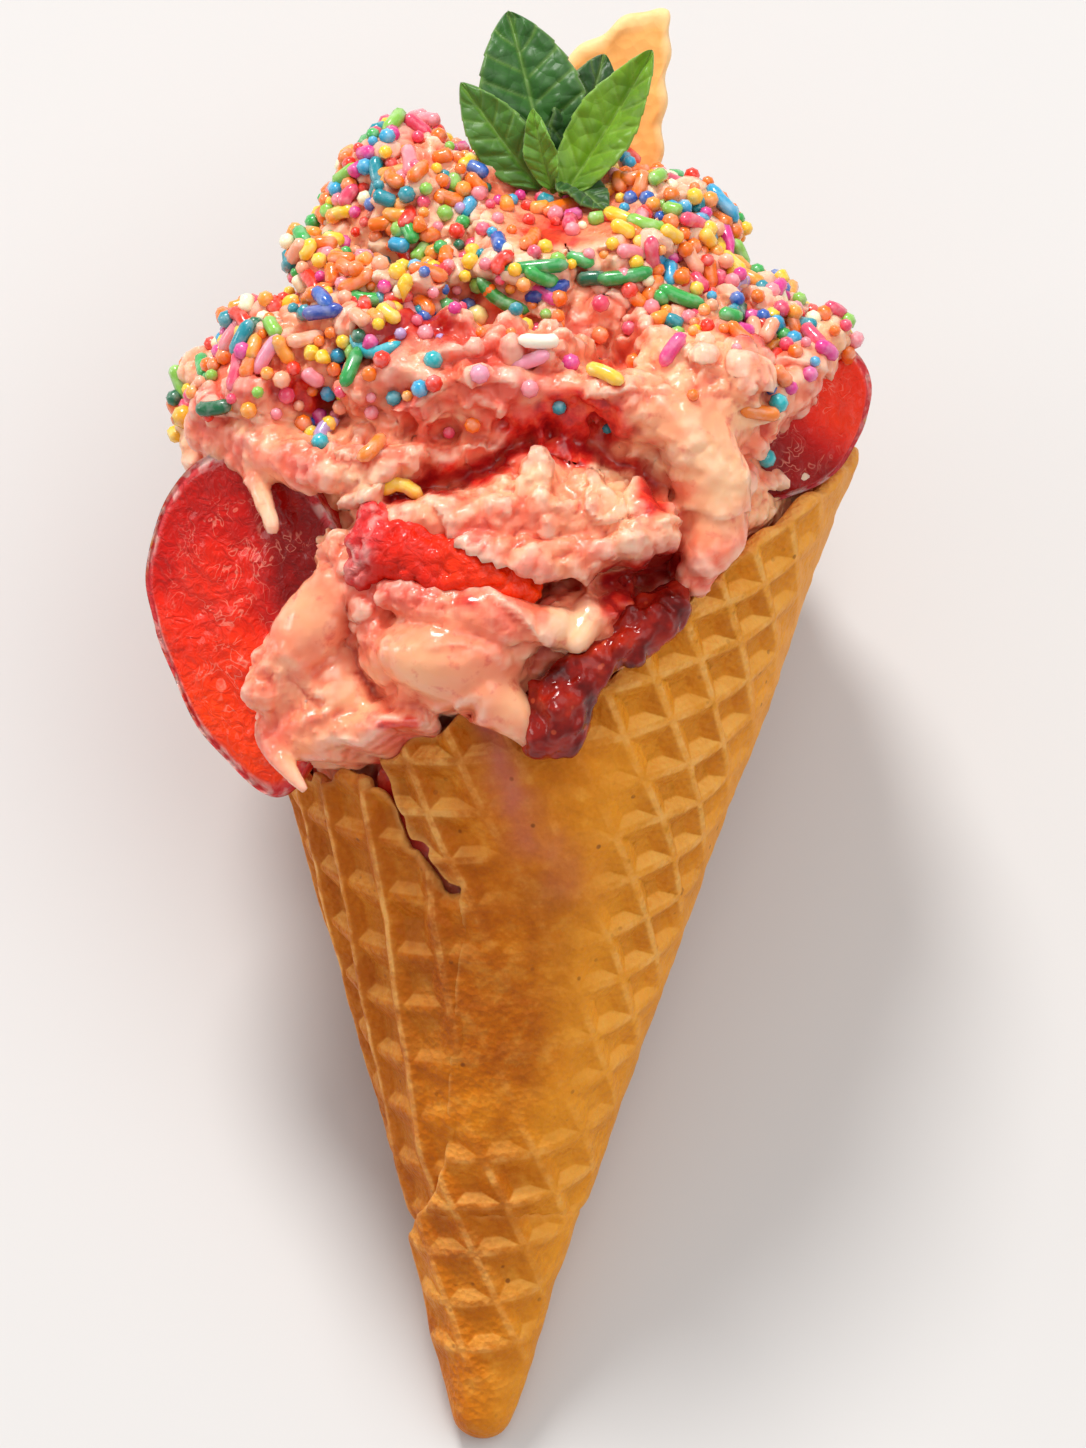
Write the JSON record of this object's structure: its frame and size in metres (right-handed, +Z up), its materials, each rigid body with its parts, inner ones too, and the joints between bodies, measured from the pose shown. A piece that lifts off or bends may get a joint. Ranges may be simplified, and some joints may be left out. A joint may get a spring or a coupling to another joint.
{
  "type": "ice cream cone",
  "caption": "Rolled waffle cone filled with strawberry ice cream, sprinkles, cut strawberries, jam, mint and a thin biscuit, lying on its side.",
  "frame": {"origin": "bottom centre of the bounding box, on the surface that the cone lies on", "axes": "+Y from the cone's tip towards the ice cream, +Z up through the dressed side, +X to the right seen from the tip"},
  "size_m": [0.0938, 0.1796, 0.0823],
  "materials": {
    "waffle": "baked golden waffle, slightly shiny on the ridges",
    "ice_cream": "moist pale pink ice cream, torn where it was scooped",
    "strawberry": "wet cut strawberry",
    "jam": "dark glossy berry jam",
    "mint": "fresh mint leaf with a soft sheen",
    "biscuit": "dry pale golden biscuit"
  },
  "bodies": {
    "root": {"waffle_cone": "waffle", "ice_cream": "ice_cream", "strawberry_left": "strawberry", "strawberry_right": "strawberry", "strawberry_chunk": "strawberry", "berry_jam": "jam", "mint_sprig": "mint", "biscuit": "biscuit"}
  },
  "joints": []
}
